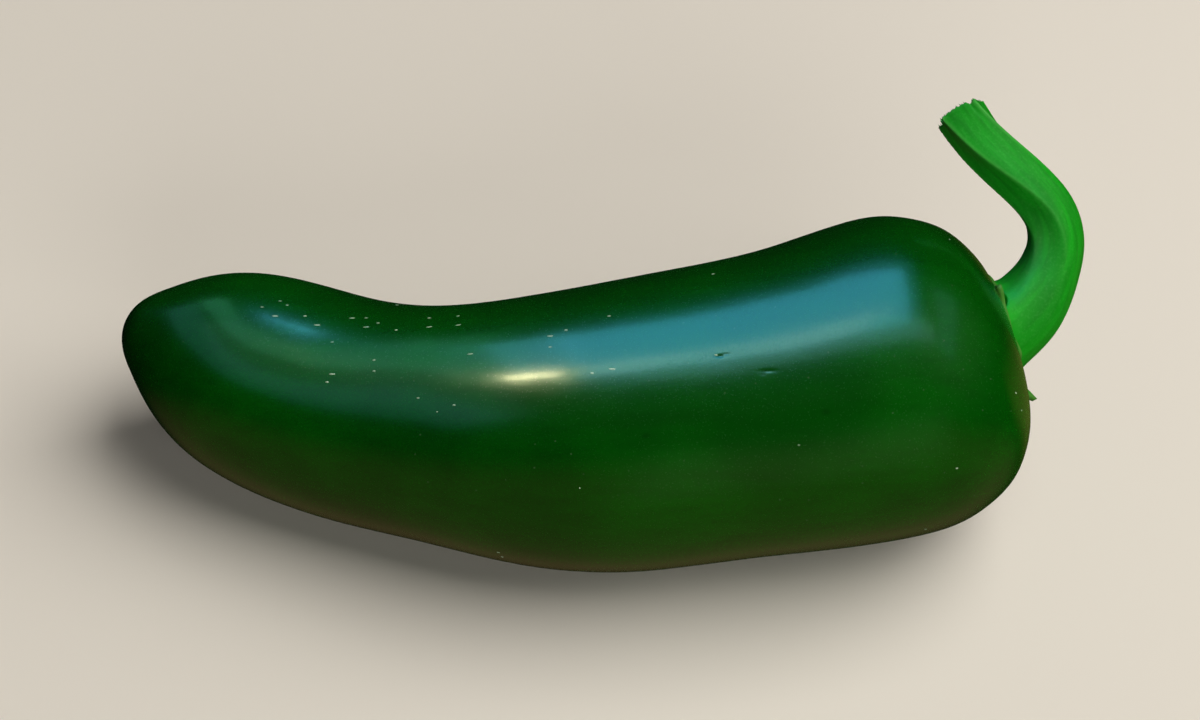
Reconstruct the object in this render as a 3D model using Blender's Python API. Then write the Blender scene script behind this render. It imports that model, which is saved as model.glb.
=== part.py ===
"""A whole green chilli pepper, as picked, lying on its side: the fruit, and the stalk with its calyx.

Sizes are in millimetres and the meshes in metres. +Z is up. +X runs from the blossom tip to the stalk end,
and the fruit bows towards -Y. The origin is on the surface that the pepper lies on, under the middle of its box.
"""

import math

import bmesh
import bpy
import numpy as np

MM = 0.001

# Fruit: its centreline as (along X, back Y, up Z), from the blossom tip to the middle of the stalk end
FRUIT_CENTRELINE = (
    (-45.6, 14.7, 12.1),
    (-35.5, 10.5, 10.4),
    (-24.0, 5.1, 10.0),
    (-12.0, 0.9, 11.6),
    (0.0, -0.7, 12.8),
    (11.0, 0.3, 13.7),
    (21.0, 1.9, 14.4),
    (31.0, 4.4, 15.3),
    (40.5, 6.8, 16.6),
)
# Fruit: its profile as (distance along the centreline, radius), from the blossom tip over the shoulder
FRUIT_PROFILE = (
    (0.0, 0.0),
    (0.8, 2.8),
    (2.6, 4.8),
    (6.0, 7.3),
    (11.0, 9.5),
    (17.0, 10.5),
    (25.0, 10.8),
    (33.0, 11.3),
    (43.0, 12.9),
    (52.0, 13.8),
    (61.0, 14.1),
    (69.0, 14.7),
    (75.0, 15.2),
    (79.5, 15.0),
    (82.6, 14.0),
    (85.0, 12.5),
    (86.8, 10.1),
    (88.2, 7.1),
    (89.0, 3.7),
    (89.2, 0.0),
)
# Fruit: the low lobes that swell its section towards the stalk end, as a share of its radius
LOBES = 3
LOBE_DEPTH = 0.026
LOBE_TURN = math.radians(45)
LOBE_START = 30.0
LOBE_FULL = 78.0
LOBE_FADE_RADIUS = 9.0

# Stalk: its route as (across X, up) from the middle of the calyx, in a plane that leans back from the upright
STALK_LEAN = math.radians(45)
STALK_ROUTE = (
    (2.1, 2.4),
    (3.7, 5.4),
    (4.2, 8.0),
    (3.5, 10.7),
    (1.8, 13.0),
    (-0.5, 15.3),
    (-2.9, 17.8),
    (-5.1, 20.2),
)
# Stalk: its radius as (share of its length, radius)
STALK_RADII = (
    (0.0, 4.1),
    (0.14, 3.5),
    (0.27, 2.9),
    (0.4, 2.65),
    (0.6, 2.4),
    (0.8, 2.25),
    (1.0, 2.1),
)
# Stalk: its ribs, which sharpen towards the cut end, and the cut, whose pith has dried back
RIBS = 5
RIB_TURN = math.radians(18)
RIB_HEIGHT_AT_FOOT = 0.05
RIB_HEIGHT_AT_CUT = 0.17
CUT_BEVEL = 0.25
CUT_EDGE_SHARE = 0.9
PITH_EDGE_SHARE = 0.72
PITH_SHARE = 0.4
PITH_DEPTH = 0.35

# Calyx: the thin cap on the stalk end of the fruit, with one pointed tooth in line with each rib of the stalk
CALYX_MIDDLE = (1.6, 1.6)
CALYX_RADIUS = 5.7
CALYX_THICKNESS = 0.8
CALYX_RIM_THICKNESS = 0.45
CALYX_GAP = 0.3
TOOTH_LENGTH = 1.5
TOOTH_LIFT = 0.3
TOOTH_SHARPNESS = 5
TOOTH_CURL = 6
# Calyx: where its top starts to sweep up into the stalk, and where along the stalk that sweep ends
FLARE_FOOT = 4.8
FLARE_TOP = 3.4
FLARE_PULL = 0.35

# The surface below: how far the low places of the fruit are pressed flat against it
PRESS = 0.25

# Mesh: rings along each piece and points round each ring
FRUIT_RINGS = 52
FRUIT_SIDES = 48
STALK_SIDES = 36
STALK_RINGS = 24
FLARE_RINGS = 6
CALYX_RINGS = 4
PATH_SAMPLES = 200
END_SAMPLES = 120
END_FROM_SHARE = 0.85
SLOPE_STEP = 0.05

GREEN_SKIN = (0.012, 0.085, 0.008, 1.0)
GREEN_STALK = (0.035, 0.235, 0.028, 1.0)


def spline(knots, values):
    """A function of place through the values at the knots, with no kink in its slope or its bend."""
    knots = np.asarray(knots, float)
    values = np.asarray(values, float).reshape(len(knots), -1)
    step = np.diff(knots)
    slope = np.diff(values, axis=0) / step[:, None]
    system = np.eye(len(knots))
    right = np.zeros_like(values)
    for i in range(1, len(knots) - 1):
        system[i, i - 1 : i + 2] = step[i - 1], 2 * (step[i - 1] + step[i]), step[i]
        right[i] = 6 * (slope[i] - slope[i - 1])
    bend = np.linalg.solve(system, right)

    def at(place):
        i = int(np.clip(np.searchsorted(knots, place) - 1, 0, len(step) - 1))
        h = step[i]
        before = knots[i + 1] - place
        after = place - knots[i]
        return (
            (bend[i] * before**3 + bend[i + 1] * after**3) / (6 * h)
            + (values[i] / h - bend[i] * h / 6) * before
            + (values[i + 1] / h - bend[i + 1] * h / 6) * after
        )

    return at


def lengths_along(points):
    """The distance of each point from the first, along the straight lines between them."""
    points = np.asarray(points, float)
    return np.concatenate([[0.0], np.cumsum(np.linalg.norm(np.diff(points, axis=0), axis=1))])


def unit(vector):
    return vector / np.linalg.norm(vector)


def smooth_step(value, low, high):
    share = min(1.0, max(0.0, (value - low) / (high - low)))
    return share * share * (3 - 2 * share)


class Path:
    """A smooth line in space, with a frame of two cross directions that turns no more than the line does."""

    def __init__(self, points, first_side):
        self.length = lengths_along(points)[-1]
        at = spline(lengths_along(points), points)
        self.places = np.linspace(0, self.length, PATH_SAMPLES)
        self.points = np.array([at(p) for p in self.places])
        along = np.gradient(self.points, self.places, axis=0)
        self.along = along / np.linalg.norm(along, axis=1)[:, None]
        side = np.asarray(first_side, float)
        sides = []
        for direction in self.along:
            side = unit(side - direction * (side @ direction))
            sides.append(side)
        self.sides = np.array(sides)

    def frame(self, place):
        """(centre, along, side, lift) at this distance along the line, going straight on past its ends."""
        inside = min(max(place, 0.0), self.length)
        centre, along, side = (
            np.array([np.interp(inside, self.places, values[:, k]) for k in range(3)])
            for values in (self.points, self.along, self.sides)
        )
        along = unit(along)
        side = unit(side - along * (side @ along))
        return centre + along * (place - inside), along, side, np.cross(along, side)


class Fruit:
    """The fruit's skin as a formula: rings of a lobed profile, square to a bowed centreline."""

    def __init__(self):
        self.path = Path(FRUIT_CENTRELINE, (0, 1, 0))
        stretch = self.path.length / FRUIT_PROFILE[-1][0]
        profile = np.array(FRUIT_PROFILE) * (stretch, 1.0)
        mirrored_tip = profile[2:0:-1] * (1, -1)
        mirrored_end = profile[-2:-4:-1] * (1, -1)
        rounded = np.vstack([mirrored_tip, profile, mirrored_end])
        lengths = lengths_along(rounded)
        self.at = spline(lengths, rounded)
        self.first, self.last = lengths[2], lengths[-3]
        ends = [self.profile(share) for share in np.linspace(END_FROM_SHARE, 1.0, END_SAMPLES)]
        self.end_radii = np.array([radius for _, radius in ends])[::-1]
        self.end_places = np.array([place for place, _ in ends])[::-1]

    def profile(self, share):
        """(distance along the centreline, radius) at this share of the profile's length."""
        place, radius = self.at(self.first + share * (self.last - self.first))
        return place, max(radius, 0.0)

    def point(self, place, radius, angle):
        """A point of the skin: angle 0 looks back, along +Y, and a quarter turn looks up."""
        centre, _, side, lift = self.path.frame(place)
        fade = smooth_step(place, LOBE_START, LOBE_FULL) * min(1.0, radius / LOBE_FADE_RADIUS) ** 2
        radius *= 1 + LOBE_DEPTH * fade * math.cos(LOBES * (angle - LOBE_TURN))
        return centre + radius * (math.cos(angle) * side + math.sin(angle) * lift)

    def end_point(self, across, height):
        """A point that stands this high above the stalk end, at these two distances across from its middle."""

        def on_skin(place):
            radius = np.hypot(*place)
            angle = np.arctan2(place[1], place[0])
            return self.point(np.interp(radius, self.end_radii, self.end_places), radius, angle)

        across = np.asarray(across, float)
        over_side = on_skin(across + (SLOPE_STEP, 0)) - on_skin(across - (SLOPE_STEP, 0))
        over_lift = on_skin(across + (0, SLOPE_STEP)) - on_skin(across - (0, SLOPE_STEP))
        return on_skin(across) + height * unit(np.cross(over_side, over_lift))


def ring_angles(sides):
    return [2 * math.pi * k / sides for k in range(sides)]


def skin_through(mesh, rings, start_pole, end_pole):
    """Joins rings of points into one closed skin, with a point at each end."""
    loops = [[mesh.verts.new(p * MM) for p in ring] for ring in rings]
    for ring, following in zip(loops, loops[1:]):
        for k, vertex in enumerate(ring):
            j = (k + 1) % len(ring)
            mesh.faces.new((vertex, ring[j], following[j], following[k]))
    for pole, ring in ((start_pole, loops[0]), (end_pole, loops[-1])):
        tip = mesh.verts.new(pole * MM)
        for k, vertex in enumerate(ring):
            mesh.faces.new((tip, vertex, ring[(k + 1) % len(ring)]))
    bmesh.ops.recalc_face_normals(mesh, faces=mesh.faces)


def press_on_surface(mesh):
    """Flattens the lowest places, which leaves the three small flat spots that the fruit lies on."""
    floor = min(vertex.co.z for vertex in mesh.verts) + PRESS * MM
    for vertex in mesh.verts:
        vertex.co.z = max(vertex.co.z, floor)


def fruit_mesh(fruit):
    mesh = bmesh.new()
    rings = []
    for share in np.linspace(0, 1, FRUIT_RINGS + 2)[1:-1]:
        place, radius = fruit.profile(share)
        rings.append([fruit.point(place, radius, angle) for angle in ring_angles(FRUIT_SIDES)])
    start_pole, end_pole = (fruit.point(*fruit.profile(share), 0.0) for share in (0, 1))
    skin_through(mesh, rings, start_pole, end_pole)
    press_on_surface(mesh)
    return mesh


def tooth(angle):
    """From 0 between two teeth of the calyx to 1 at the point of one."""
    return (0.5 + 0.5 * math.cos(RIBS * (angle - RIB_TURN))) ** TOOTH_SHARPNESS


def calyx_point(fruit, share, angle, top):
    """A point of the calyx at this share of the way to its rim, on its top or its underside."""
    radius = share * (CALYX_RADIUS + TOOTH_LENGTH * tooth(angle))
    height = CALYX_GAP + TOOTH_LIFT * tooth(angle) * share**TOOTH_CURL
    if top:
        height += CALYX_THICKNESS + (CALYX_RIM_THICKNESS - CALYX_THICKNESS) * share**2
    across = np.array(CALYX_MIDDLE) + radius * np.array([math.cos(angle), math.sin(angle)])
    return fruit.end_point(across, height)


def stalk_path(fruit):
    middle = fruit.end_point(CALYX_MIDDLE, 0.0)
    up = np.array([0.0, math.sin(STALK_LEAN), math.cos(STALK_LEAN)])
    route = [middle + across * np.array([1.0, 0, 0]) + rise * up for across, rise in STALK_ROUTE]
    _, _, side, _ = fruit.path.frame(fruit.path.length)
    return Path([middle, *route], side)


def stalk_point(path, radius_at, place, angle, share_of_radius=1.0):
    centre, _, side, lift = path.frame(place)
    share = place / path.length
    rib = RIB_HEIGHT_AT_FOOT + (RIB_HEIGHT_AT_CUT - RIB_HEIGHT_AT_FOOT) * share
    radius = radius_at(share)[0] + rib * math.cos(RIBS * (angle - RIB_TURN))
    return centre + share_of_radius * radius * (math.cos(angle) * side + math.sin(angle) * lift)


def flare_point(fruit, path, radius_at, share, angle):
    """A point on the sweep from the calyx up into the stalk, which leaves the one and meets the other smoothly."""
    foot_share = FLARE_FOOT / CALYX_RADIUS
    foot = calyx_point(fruit, foot_share, angle, top=True)
    top = stalk_point(path, radius_at, FLARE_TOP, angle)
    inward = unit(foot - calyx_point(fruit, foot_share + SLOPE_STEP, angle, top=True))
    downward = unit(top - stalk_point(path, radius_at, FLARE_TOP + SLOPE_STEP, angle))
    reach = FLARE_PULL * np.linalg.norm(top - foot)
    rest = 1 - share
    return (
        rest**3 * foot
        + 3 * rest**2 * share * (foot + reach * inward)
        + 3 * rest * share**2 * (top + reach * downward)
        + share**3 * top
    )


def stalk_mesh(fruit):
    """The calyx's underside, its rim and its top, then the flare, the stalk and the hollowed cut end."""
    path = stalk_path(fruit)
    shares, radii = zip(*STALK_RADII)
    radius_at = spline(shares, radii)
    angles = ring_angles(STALK_SIDES)
    rings = []
    for share in np.linspace(0, 1, CALYX_RINGS + 1)[1:]:
        rings.append([calyx_point(fruit, share, angle, top=False) for angle in angles])
    for share in np.linspace(1.0, FLARE_FOOT / CALYX_RADIUS, CALYX_RINGS):
        rings.append([calyx_point(fruit, share, angle, top=True) for angle in angles])
    for share in np.linspace(0, 1, FLARE_RINGS + 2)[1:-1]:
        rings.append([flare_point(fruit, path, radius_at, share, angle) for angle in angles])
    for place in np.linspace(FLARE_TOP, path.length - CUT_BEVEL, STALK_RINGS):
        rings.append([stalk_point(path, radius_at, place, angle) for angle in angles])
    for share, depth in ((CUT_EDGE_SHARE, 0.0), (PITH_EDGE_SHARE, 0.0), (PITH_SHARE, PITH_DEPTH)):
        rings.append([stalk_point(path, radius_at, path.length - depth, angle, share) for angle in angles])
    mesh = bmesh.new()
    start_pole = fruit.end_point(CALYX_MIDDLE, CALYX_GAP)
    end_pole = path.frame(path.length - PITH_DEPTH)[0]
    skin_through(mesh, rings, start_pole, end_pole)
    return mesh


def material(name, colour, roughness):
    made = bpy.data.materials.new(name)
    made.use_nodes = True
    shader = made.node_tree.nodes["Principled BSDF"]
    shader.inputs["Base Color"].default_value = colour
    shader.inputs["Roughness"].default_value = roughness
    shader.inputs["Metallic"].default_value = 0.0
    return made


def add_object(name, mesh, finish):
    data = bpy.data.meshes.new(name)
    mesh.to_mesh(data)
    mesh.free()
    data.materials.append(finish)
    data.shade_smooth()
    made = bpy.data.objects.new(name, data)
    bpy.context.scene.collection.objects.link(made)
    return made


def place_over_origin(pieces):
    """Moves the pieces together, so that the middle of their box's bottom is at the origin."""
    places = np.array([vertex.co for piece in pieces for vertex in piece.data.vertices])
    low, high = places.min(axis=0), places.max(axis=0)
    for piece in pieces:
        piece.location = (-(low[0] + high[0]) / 2, -(low[1] + high[1]) / 2, -low[2])


def main():
    for old in list(bpy.data.objects):
        bpy.data.objects.remove(old)
    fruit = Fruit()
    skin = material("waxy_green_skin", GREEN_SKIN, 0.3)
    green = material("green_stalk", GREEN_STALK, 0.5)
    fruit_object = add_object("fruit", fruit_mesh(fruit), skin)
    stalk_object = add_object("stalk_and_calyx", stalk_mesh(fruit), green)
    place_over_origin([fruit_object, stalk_object])


main()
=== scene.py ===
"""The looks of a whole green chilli pepper, as picked, lying on its side.

A node tree sweeps the fruit's skin along its bowed centreline, and another scatters flecks of cork on it. The
stalk is built ring by ring, from the calyx that grips the fruit to the snapped end, and a tree raises its
fibres. Constants are in millimetres and meshes in metres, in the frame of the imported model: +Z up, +X from the
blossom tip to the stalk end.
"""

import math
from functools import partial

import bmesh
import bpy
import numpy as np
from mathutils import Matrix, Vector
from mathutils.bvhtree import BVHTree


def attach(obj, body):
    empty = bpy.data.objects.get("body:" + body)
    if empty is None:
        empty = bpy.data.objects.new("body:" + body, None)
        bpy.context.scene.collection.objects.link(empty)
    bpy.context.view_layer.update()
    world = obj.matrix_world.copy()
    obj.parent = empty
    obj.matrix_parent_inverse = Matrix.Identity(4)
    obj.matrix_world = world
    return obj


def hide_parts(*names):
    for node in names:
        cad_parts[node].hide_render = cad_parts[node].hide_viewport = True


bl_info = {
    "name": "Green chilli pepper",
    "version": (1, 0, 0),
    "blender": (4, 5, 0),
    "location": "3D View > Sidebar > Chilli",
    "description": "Builds a green chilli pepper with its stalk, and a plain studio round it",
    "category": "Add Mesh",
}

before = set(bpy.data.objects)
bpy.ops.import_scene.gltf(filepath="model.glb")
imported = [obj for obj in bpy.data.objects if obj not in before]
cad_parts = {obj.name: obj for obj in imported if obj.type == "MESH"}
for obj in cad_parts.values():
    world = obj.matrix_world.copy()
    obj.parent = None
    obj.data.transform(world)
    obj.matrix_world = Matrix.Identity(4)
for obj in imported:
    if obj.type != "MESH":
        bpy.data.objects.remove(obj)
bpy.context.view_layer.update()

MM = 0.001

# Fruit: its centreline as (along X, back Y, up Z), from the blossom tip to the middle of the stalk end
FRUIT_CENTRELINE = (
    (-45.6, 14.7, 12.1), (-35.5, 10.5, 10.4), (-24.0, 5.1, 10.0), (-12.0, 0.9, 11.6), (0.0, -0.7, 12.8),
    (11.0, 0.3, 13.7), (21.0, 1.9, 14.4), (31.0, 4.4, 15.3), (40.5, 6.8, 16.6),
)
# Fruit: its profile as (distance along the centreline, radius), into the hollow round the stalk
FRUIT_PROFILE = (
    (0.0, 0.0), (0.7, 2.4), (2.6, 4.5), (6.0, 7.2), (11.0, 9.5), (17.0, 10.5), (25.0, 10.8),
    (33.0, 11.3), (43.0, 12.9), (52.0, 13.8), (61.0, 14.1), (69.0, 14.7), (75.0, 15.2), (79.5, 15.0),
    (82.5, 14.0), (84.9, 12.5), (86.6, 10.4), (87.6, 8.2), (87.8, 6.4), (87.4, 4.6), (87.1, 2.4),
    (87.0, 0.0),
)
PROFILE_LENGTH = 89.2
# How far the pepper's own axes are moved, to lie on the ground with the middle of its box over the origin
LAID_SHIFT = (-0.38, -5.08, 0.55)
FRUIT_SIDE = (0.0, 1.0, 0.0)
GUIDE_POINTS = 400

# Fruit: pits and scars as (pixel across, pixel down, half length, half width, depth), seen in the photograph
PITS = (
    (720, 356, 0.32, 0.13, 0.06), (726, 354, 0.4, 0.12, 0.02), (768, 371, 0.75, 0.15, 0.03),
    (763, 374, 0.3, 0.15, 0.012), (826, 412, 0.5, 0.3, 0.012), (646, 436, 0.5, 0.3, 0.01),
)
PIT_REACH = 4.0
PIT_FACES_REACH = 2.6
PIT_CUTS = 3

# Flecks: their places in the photograph, in pixels; the long ones lie along the fruit
LONG_FLECKS = (
    (275, 316), (317, 325), (352, 318), (366, 327), (429, 327), (458, 325), (332, 374), (550, 336),
    (612, 369), (470, 354),
)
SMALL_FLECKS = (
    (262, 307), (280, 301), (305, 316), (332, 342), (366, 318), (378, 323), (396, 330), (397, 305),
    (429, 318), (458, 316), (374, 360), (374, 371), (327, 382), (418, 398), (454, 405), (550, 347),
    (566, 330), (609, 316), (592, 373), (713, 274), (716, 355), (1016, 393),
)
LONG_FLECK_SIZE = 1.9
SCATTERED_FLECK_SIZE = 0.6
# Flecks: the height under which none are scattered, and the least and most of their directions and sizes
CLEAN_HEIGHT = 0.5
FLECK_DIRECTIONS = ((0.9, -0.35, -0.1), (1.0, 0.15, 0.1))
FLECK_SIZES = ((0.6, 0.7, 0.6), (1.5, 1.2, 1.1))

# Stalk: its route as (across X, up) from above the middle of the calyx, in a plane that leans back
STALK_RISE = 2.05
STALK_LEAN = math.radians(45)
STALK_ROUTE = (
    (2.1, 2.4), (3.7, 5.4), (4.2, 8.0), (3.5, 10.7), (1.8, 13.0), (-0.5, 15.3), (-2.9, 17.8),
    (-4.9, 20.35),
)
# Stalk: its radius as (share of its length, radius)
STALK_RADII = (
    (0.0, 4.1), (0.14, 3.5), (0.27, 2.9), (0.4, 2.65), (0.6, 2.42), (0.8, 2.34), (1.0, 2.33),
)
# Stalk: the angles of its five ribs at the snapped end, and how far they have turned round it by its foot
RIB_ANGLES = tuple(math.radians(angle) for angle in (32, 96, 180, 250, 322))
RIB_TWIST = math.radians(95)
RIB_HEIGHT_AT_FOOT = 0.07
RIB_HEIGHT_AT_CUT = 0.27
CORD_HEIGHT = 0.06
CORD_WIDTH = math.radians(7)
# Stalk: a cleft in its side at the snapped end, as (angle, width, depth, share of the length where it starts)
CLEFT = (math.radians(171), math.radians(4), 0.14, 0.93)
# Stalk: the snapped end, as rings of (share of the radius, depth below the rim, roughness of the break)
SNAP_RINGS = (
    (1.0, 0.06, 0.0), (0.97, 0.0, 0.0), (0.93, 0.0, 0.05), (0.86, 0.02, 0.08), (0.8, 0.1, 0.1),
    (0.72, 0.28, 0.1), (0.6, 0.42, 0.08), (0.45, 0.45, 0.1), (0.3, 0.4, 0.1), (0.14, 0.42, 0.08),
)
SNAP_JAG = 0.14
SNAP_BACK = 0.07
# Stalk: how the break slants, as (angle, rise), and its dips and points, as (angle, width, rise)
SNAP_SLANT = (math.radians(112), 0.65)
SNAP_TURNS = (
    (math.radians(60), math.radians(25), -0.4),
    (math.radians(62), math.radians(4), 0.5),
    (math.radians(171), math.radians(5), -0.3),
)
SNAP_START = 1.4

# Calyx: the thin cap in the hollow at the stalk end, drawn out to one side as (angle, share), and its teeth as
# (angle, width, length, lift off the fruit)
CALYX_MIDDLE = (1.6, 1.6)
CALYX_RADIUS = 5.1
CALYX_STRETCH = (math.radians(225), 0.22)
CALYX_SINK = -0.12
CALYX_TOP = 0.8
CALYX_RIM_TOP = 0.4
TEETH = (
    (math.radians(20), math.radians(10), 1.5, 0.2),
    (math.radians(108), math.radians(7), 1.3, 0.2),
    (math.radians(166), math.radians(10), 1.0, 0.1),
    (math.radians(232), math.radians(8), 1.8, 1.6),
    (math.radians(304), math.radians(10), 1.4, 0.2),
)
TOOTH_CURL = 5
FLARE_FOOT = 4.6
FLARE_TOP = 3.4
# Stalk: how far its foot and its shaft run straight on into the flare, as shares of the way between them
FLARE_PULL = (0.2, 0.55)
# Stalk: a dent in its flared foot, behind a tooth, as (angle, width, depth, share of the way up, spread)
FLARE_DENT = (math.radians(104), math.radians(10), 2.3, 0.15, 0.16)
# Stalk: how much of the calyx's olive tint reaches up into the flare
FLARE_TINT = 0.25
SEAT_REACH = 20.0
SEAT_STEP = 0.35
FLARE_STEP = 0.05

# Stalk: the least and most by which its torn fibres lean out, and of their sizes
TORN_LEANS = ((-0.35, -0.35, -0.35), (0.35, 0.35, 0.35))
TORN_SIZES = ((0.6, 0.6, 0.3), (1.3, 1.3, 1.3))
# Stalk: how its fibre pattern is stretched round it and along it
FIBRES_ROUND = 2.4
FIBRES_ALONG = 0.12

# Stalk: rings along it and points round each ring
STALK_SIDES = 180
STALK_RINGS = 180
SNAP_LEAN_RINGS = 9
FLARE_RINGS = 34
CALYX_RINGS = 14

# The photograph's frame in pixels, which the places above are read in
PHOTO_WIDTH = 1200
PHOTO_HEIGHT = 720
SENSOR = 36.0
LOOKS_AT = (0.25, 0.97, 15.97)


def srgb(code):
    """The linear colour, with alpha, of an sRGB hex value."""
    channels = [int(code[i : i + 2], 16) / 255 for i in (1, 3, 5)]
    return (*(c / 12.92 if c <= 0.04045 else ((c + 0.055) / 1.055) ** 2.4 for c in channels), 1.0)


def per_mm(size):
    """The texture scale, in metres, of a pattern whose features are this many millimetres across."""
    return 1.0 / (size * MM)

def length_setting(name, description, size):
    """A length that a user can change, from its size in millimetres."""
    return bpy.props.FloatProperty(name=name, description=description, default=size * MM, unit="LENGTH")


def angle_setting(name, description, degrees):
    """An angle that a user can change."""
    angle = math.radians(degrees)
    return bpy.props.FloatProperty(name=name, description=description, default=angle, subtype="ANGLE")


def colour_setting(name, description, code):
    """A colour that a user can change, from its sRGB hex value."""
    return bpy.props.FloatVectorProperty(
        name=name, description=description, default=srgb(code), size=4, subtype="COLOR"
    )


class ChilliFruitSettings(bpy.types.PropertyGroup):
    """Sizes and colours of the fruit and of the flecks on it"""

    steps_along: bpy.props.IntProperty(
        name="Steps along", description="Rings of faces from the tip to the stalk end", default=260, min=20
    )
    sides: bpy.props.IntProperty(
        name="Sides", description="Faces round each ring of the skin", default=300, min=12
    )
    lobes: bpy.props.IntProperty(
        name="Lobes", description="Low lobes that swell the section", default=3, min=0
    )
    lobe_depth: bpy.props.FloatProperty(
        name="Lobe depth", description="Height of a lobe as a share of the radius", default=0.026
    )
    lobe_turn: angle_setting("Lobe turn", "Angle of the first lobe", 45)
    lobe_start: length_setting("Lobe start", "Distance from the tip where the lobes begin", 30)
    lobe_full: length_setting("Lobe full", "Distance from the tip where they are full", 78)
    lobe_fade_radius: length_setting(
        "Lobe fade radius", "Radius under which the lobes flatten out at the ends", 9
    )
    wave_height: length_setting("Wave height", "Height of the slow waves of the skin", 0.16)
    wave_size: length_setting("Wave size", "Size of the slow waves", 11)
    fleck_density: bpy.props.FloatProperty(
        name="Fleck density", description="Flecks in a square metre of skin", default=5000.0
    )
    fleck_seed: bpy.props.IntProperty(name="Fleck seed", description="Where the flecks fall", default=7)
    fleck_length: length_setting("Fleck length", "Half length of a fleck", 0.17)
    fleck_width: length_setting("Fleck width", "Half width of a fleck", 0.08)
    fleck_height: length_setting("Fleck height", "Half height of a fleck", 0.05)
    deep_green: colour_setting("Deep green", "Main colour of the skin", "#024403")
    fresh_green: colour_setting("Fresh green", "Lighter patches of the skin", "#035104")
    # Dark green also darkens the pits, as painted shade
    dark_green: colour_setting("Dark green", "Streaks and mottling of the skin", "#023402")
    # Cork's paleness on the flecks also stands in for their glints, partly as a painted highlight
    cork: colour_setting("Cork", "Flecks, freckles and healed scars", "#c4dcc0")


class ChilliStalkSettings(bpy.types.PropertyGroup):
    """Sizes and colours of the stalk and the calyx"""

    fibre_depth: length_setting("Fibre depth", "Height of the fine lengthwise fibres", 0.035)
    fibre_scale: bpy.props.FloatProperty(
        name="Fibre scale", description="Fibres across a millimetre of the stalk", default=3.0
    )
    torn_count: bpy.props.IntProperty(
        name="Torn fibres", description="Short fibres that stand round the snapped end", default=34
    )
    torn_length: length_setting("Torn length", "Length of a torn fibre", 0.24)
    torn_radius: length_setting("Torn radius", "Radius of a torn fibre", 0.07)
    seed: bpy.props.IntProperty(name="Seed", description="How the fibres fall", default=3)
    green: colour_setting("Green", "Main colour of the stalk", "#149a18")
    dark_green: colour_setting("Dark green", "Streaks between the fibres", "#0c760f")
    # Pale green on the ridges is a painted highlight; on the snapped end and in the mottling it is the stalk's
    # own colour
    pale_green: colour_setting("Pale green", "Ridges and the edge of the snapped end", "#5cbc58")
    olive: colour_setting("Olive", "Weathered foot and edge of the calyx", "#4a7a30")


class ChilliStageSettings(bpy.types.PropertyGroup):
    """The plain studio: floor, lights and camera"""

    floor_size: length_setting("Floor size", "Width of the floor", 6000)
    floor_colour: colour_setting("Floor colour", "Matt pale floor", "#f0ede7")
    camera_elevation: angle_setting("Camera elevation", "How far above level the camera looks down from", 45)
    camera_distance: length_setting("Camera distance", "From the lens to the pepper", 330)
    lens: bpy.props.FloatProperty(
        name="Lens", description="Focal length in millimetres", default=103.95
    )


def fill(tree, node, inputs):
    """Fills a node's inputs. Each takes a value, a socket, or a node, whose first output it links."""
    for key, value in inputs.items():
        if isinstance(key, int):
            socket = node.inputs[key]
        else:
            socket = next(s for s in node.inputs if s.enabled and s.name == key)
        if isinstance(value, bpy.types.Node):
            value = next(s for s in value.outputs if s.enabled)
        if isinstance(value, bpy.types.NodeSocket):
            tree.links.new(value, socket)
        else:
            socket.default_value = value


def add_node(tree, kind, inputs=(), **settings):
    """Adds a node with its settings, and fills its inputs in their order or by their names."""
    node = tree.nodes.new(kind)
    for name, value in settings.items():
        setattr(node, name, value)
    fill(tree, node, inputs if isinstance(inputs, dict) else dict(enumerate(inputs)))
    return node


def new_tree(name, **inputs):
    """A geometry tree with one geometry output and inputs of these names, by the kind of their sockets."""
    tree = bpy.data.node_groups.new(name, "GeometryNodeTree")
    tree.interface.new_socket("Geometry", in_out="OUTPUT", socket_type="NodeSocketGeometry")
    for kind, labels in inputs.items():
        for label in labels:
            tree.interface.new_socket(label, in_out="INPUT", socket_type="NodeSocket" + kind)
    return tree, add_node(tree, "NodeGroupInput").outputs


def end_tree(tree, geometry, material):
    """Ends a geometry tree: instances made real, smooth faces, and the material set."""
    real = add_node(tree, "GeometryNodeRealizeInstances", {"Geometry": geometry})
    smooth = add_node(tree, "GeometryNodeSetShadeSmooth", {"Geometry": real})
    finished = add_node(tree, "GeometryNodeSetMaterial", {"Geometry": smooth, "Material": material})
    add_node(tree, "NodeGroupOutput", {"Geometry": finished})


def grow(name, tree, values, mesh=None):
    """Runs a tree once on a new object, and returns the object with the result as its plain mesh."""
    made = bpy.data.objects.new(name, mesh or bpy.data.meshes.new(name))
    modifier = made.modifiers.new(tree.name, "NODES")
    modifier.node_group = tree
    for item in tree.interface.items_tree:
        if item.in_out == "INPUT" and item.name in values:
            modifier[item.identifier] = values[item.name]
    bpy.context.scene.collection.objects.link(made)
    graph = bpy.context.evaluated_depsgraph_get()
    evaluated = made.evaluated_get(graph)
    grown = bpy.data.meshes.new_from_object(evaluated, preserve_all_data_layers=True, depsgraph=graph)
    made.modifiers.remove(modifier)
    made.data = grown
    grown.name = name
    return made


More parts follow.
